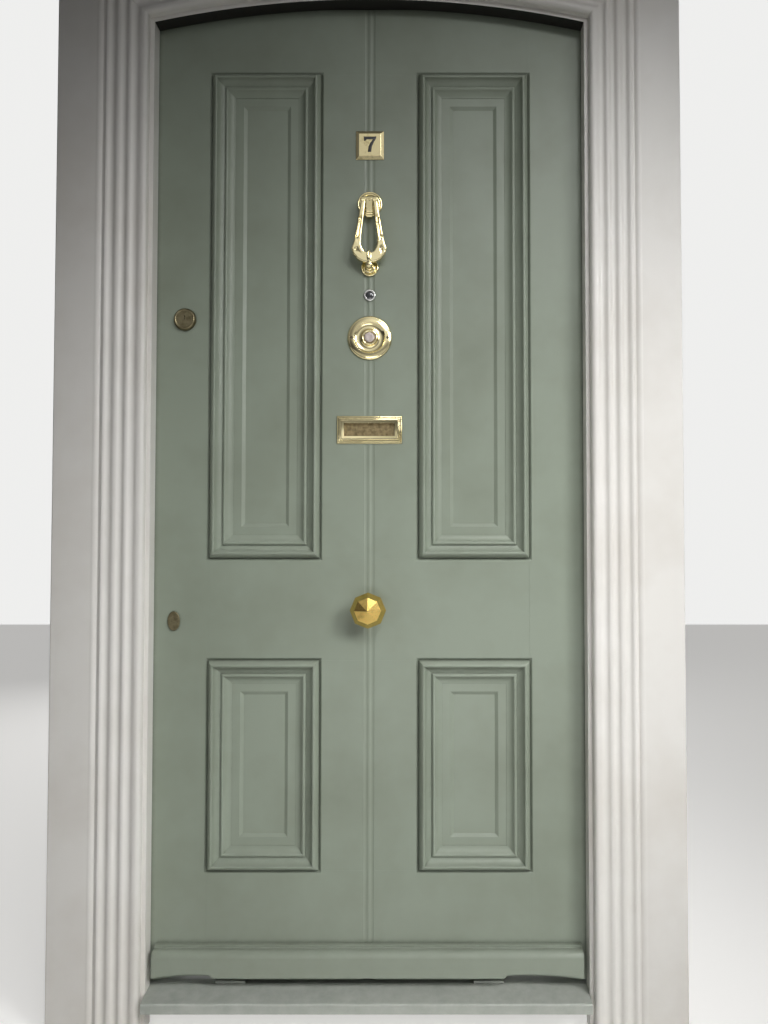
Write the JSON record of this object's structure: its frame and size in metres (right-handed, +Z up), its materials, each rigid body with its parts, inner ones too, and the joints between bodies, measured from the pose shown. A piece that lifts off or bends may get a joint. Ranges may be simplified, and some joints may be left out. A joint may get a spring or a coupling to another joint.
{
  "type": "panelled front door with frame",
  "caption": "Panelled front door hung in its rebated frame with an arched reeded casing and sill, with knocker, bell push, letter plate, pull knob, rim latch and mortice lock.",
  "frame": {"origin": "middle of the sill's underside, in the plane of the leaf's outside face", "axes": "+X across the door towards the hinges as seen from outside, +Y into the house, +Z up"},
  "size_m": [1.286, 0.148, 2.3129],
  "materials": {
    "door_paint": "sage green gloss paint, worn and slightly dusty",
    "bead_paint": "sage green gloss paint",
    "frame_paint": "warm white satin paint",
    "sill_paint": "sage green gloss paint, dusty on top",
    "polished_brass": "polished",
    "flap_brass": "polished, duller in the recess",
    "gilt_brass": "polished, deep gold",
    "aged_brass": "aged, brown bronze tone",
    "viewer_chrome": "polished",
    "viewer_glass": "clear, dark behind",
    "button_glaze": "glazed, off-white",
    "contact_plastic": "moulded",
    "lock_steel": "black lacquered steel",
    "hinge_steel": "satin"
  },
  "bodies": {
    "frame": {"jamb_left": "frame_paint", "jamb_right": "frame_paint", "frame_head": "frame_paint", "casing_left": "frame_paint", "casing_right": "frame_paint", "casing_head": "frame_paint", "sill": "sill_paint", "sill_pads": "sill_paint", "latch_keep": "lock_steel", "strike_plate": "lock_steel", "hinge_frame_leaves": "hinge_steel", "hinge_pins": "hinge_steel", "frame_screws": "hinge_steel"},
    "leaf": {"lock_stile": "door_paint", "hinge_stile": "door_paint", "top_rail": "door_paint", "lock_rail": "door_paint", "bottom_rail": "door_paint", "upper_muntin": "door_paint", "lower_muntin": "door_paint", "panel_upper_left": "door_paint", "panel_upper_right": "door_paint", "panel_lower_left": "door_paint", "panel_lower_right": "door_paint", "moulding_upper_left": "door_paint", "moulding_upper_right": "door_paint", "moulding_lower_left": "door_paint", "moulding_lower_right": "door_paint", "inside_beads": "door_paint", "centre_bead": "bead_paint", "weatherboard": "door_paint", "number_plate": "polished_brass", "knocker_rose": "polished_brass", "knocker_pin": "polished_brass", "knocker_strike": "polished_brass", "viewer_barrel": "viewer_chrome", "viewer_lens": "viewer_glass", "bell_rose": "polished_brass", "bell_contact": "contact_plastic", "bell_screws": "polished_brass", "letter_frame": "polished_brass", "letter_rod": "flap_brass", "centre_knob": "gilt_brass", "knob_rose": "gilt_brass", "knob_nut": "lock_steel", "cylinder_ring": "aged_brass", "cylinder_body": "aged_brass", "latch_case": "lock_steel", "mortice_case": "lock_steel", "keyhole_plates": "aged_brass", "hinge_door_leaves": "hinge_steel", "leaf_screws": "hinge_steel"},
    "knocker": {"knocker_loop": "polished_brass"},
    "bell_push": {"bell_button": "button_glaze"},
    "letter_flap": {"letter_flap": "flap_brass"},
    "cylinder_plug": {"cylinder_plug": "aged_brass"},
    "latch_bolt": {"latch_bolt": "lock_steel"},
    "latch_turn": {"latch_turn": "aged_brass"},
    "keyhole_cover": {"keyhole_cover": "aged_brass"},
    "dead_bolt": {"mortice_bolt": "lock_steel"}
  },
  "joints": [
    {"name": "leaf_hinge", "type": "hinge", "parent": "frame", "child": "leaf", "pos_m": [0.459, 0.0505, 1.051], "axis": [0, 0, -1], "range_deg": [0, 95]},
    {"name": "knocker_swing", "type": "hinge", "parent": "leaf", "child": "knocker", "pos_m": [0, -0.021, 1.6485], "axis": [-1, 0, 0], "range_deg": [0, 85]},
    {"name": "bell_press", "type": "slide", "parent": "leaf", "child": "bell_push", "axis": [0, 1, 0], "range_m": [0, 0.0024], "stiffness_N_per_m": 900, "springref_m": -0.0005},
    {"name": "letter_flap_hinge", "type": "hinge", "parent": "leaf", "child": "letter_flap", "pos_m": [0, 0.0044, 1.183], "axis": [1, 0, 0], "range_deg": [0, 80], "stiffness_Nm_per_rad": 0.05, "springref_deg": -20.05},
    {"name": "plug_turn", "type": "hinge", "parent": "leaf", "child": "cylinder_plug", "pos_m": [-0.3885, 0, 1.4045], "axis": [0, 1, 0], "range_deg": [0, 90]},
    {"name": "latch_slide", "type": "slide", "parent": "leaf", "child": "latch_bolt", "axis": [-1, 0, 0], "range_m": [0, 0.015]},
    {"name": "latch_turn", "type": "hinge", "parent": "leaf", "child": "latch_turn", "pos_m": [-0.3885, 0.07, 1.4045], "axis": [0, -1, 0], "range_deg": [0, 90]},
    {"name": "cover_swing", "type": "hinge", "parent": "leaf", "child": "keyhole_cover", "pos_m": [-0.406, 0, 0.784], "axis": [0, -1, 0], "range_deg": [-100, 100]},
    {"name": "deadbolt_slide", "type": "slide", "parent": "leaf", "child": "dead_bolt", "axis": [-1, 0, 0], "range_m": [0, 0.014]}
  ],
  "couplings": [
    {"joint": "latch_turn", "follows": "latch_slide", "rad_per_m": 104}
  ]
}
